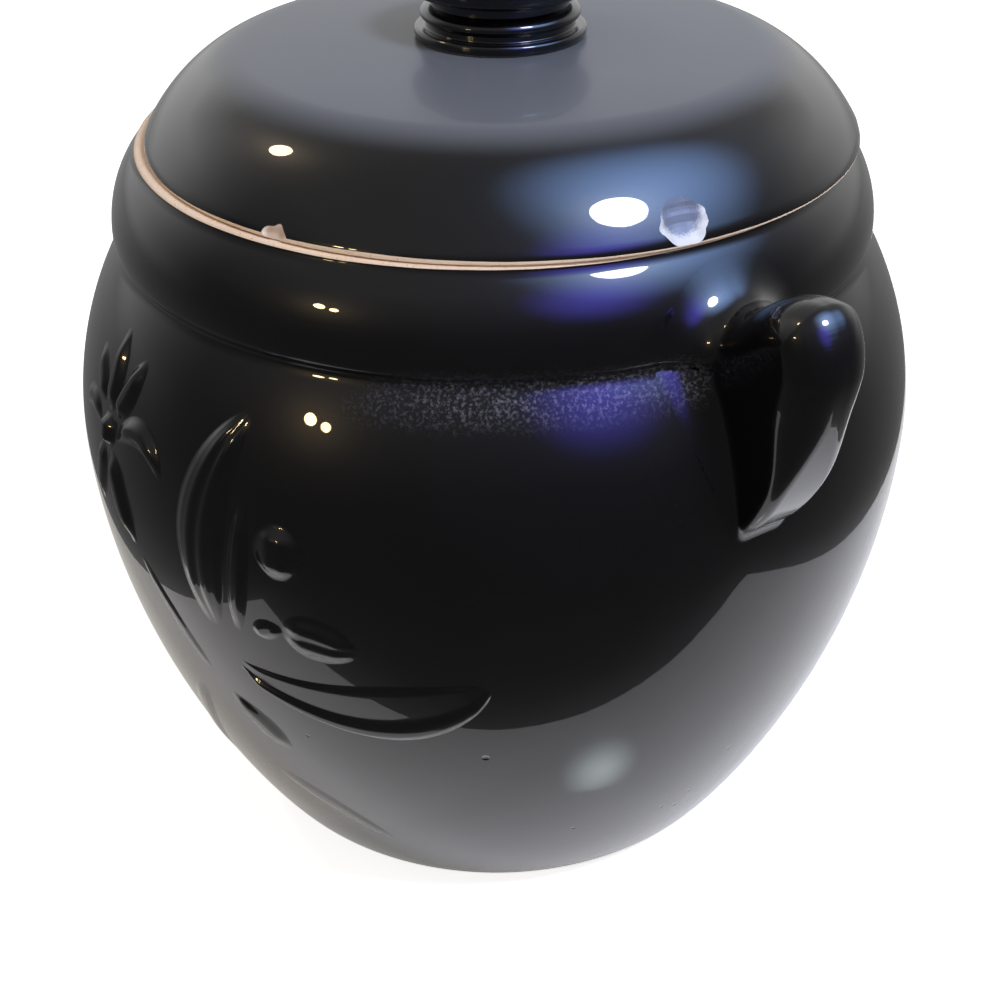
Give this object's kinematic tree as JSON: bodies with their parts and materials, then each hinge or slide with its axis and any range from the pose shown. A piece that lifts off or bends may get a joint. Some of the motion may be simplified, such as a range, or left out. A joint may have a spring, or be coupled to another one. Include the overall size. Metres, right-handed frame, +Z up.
{
  "type": "cookie jar",
  "caption": "Ovoid black-glazed pottery jar with a lift-off domed lid, a turned knob, solid ear lugs and a floral spray in low relief on its front, for biscuits and dry food.",
  "frame": {"origin": "on the jar's upright axis, in the plane that its foot stands on", "axes": "+Z up, the ears along X, the floral spray on the -Y side"},
  "size_m": [0.2634, 0.2288, 0.2449],
  "materials": {
    "black_glaze": "near-black glossy glaze over fired clay, with a few pits",
    "bare_clay": "unglazed pinkish fired clay, matt"
  },
  "bodies": {
    "jar": {"jar_body": "black_glaze", "foot_ring": "bare_clay", "right_ear": "black_glaze", "left_ear": "black_glaze", "right_long_leaf": "black_glaze", "left_long_leaf": "black_glaze", "right_narrow_leaf": "black_glaze", "left_narrow_leaf": "black_glaze", "right_round_bud": "black_glaze", "left_round_bud": "black_glaze", "right_almond_bud": "black_glaze", "left_almond_bud": "black_glaze", "right_bud_sepal": "black_glaze", "left_bud_sepal": "black_glaze", "right_stub_leaf": "black_glaze", "left_stub_leaf": "black_glaze", "right_low_leaf": "black_glaze", "left_low_leaf": "black_glaze", "flower_heart": "black_glaze", "top_petal": "black_glaze", "right_petal": "black_glaze", "left_petal": "black_glaze", "right_curl": "black_glaze", "left_curl": "black_glaze", "right_drop_petal": "black_glaze", "left_drop_petal": "black_glaze", "right_tall_leaf": "black_glaze", "left_tall_leaf": "black_glaze", "flower_stem": "black_glaze", "root_leaf": "black_glaze"},
    "lid": {"lid_dome": "black_glaze", "lid_flange": "bare_clay", "lid_knob": "black_glaze"}
  },
  "joints": [
    {"name": "lid_lift", "type": "slide", "parent": "jar", "child": "lid", "axis": [0, 0, 1], "range_m": [0, 0.15]}
  ]
}
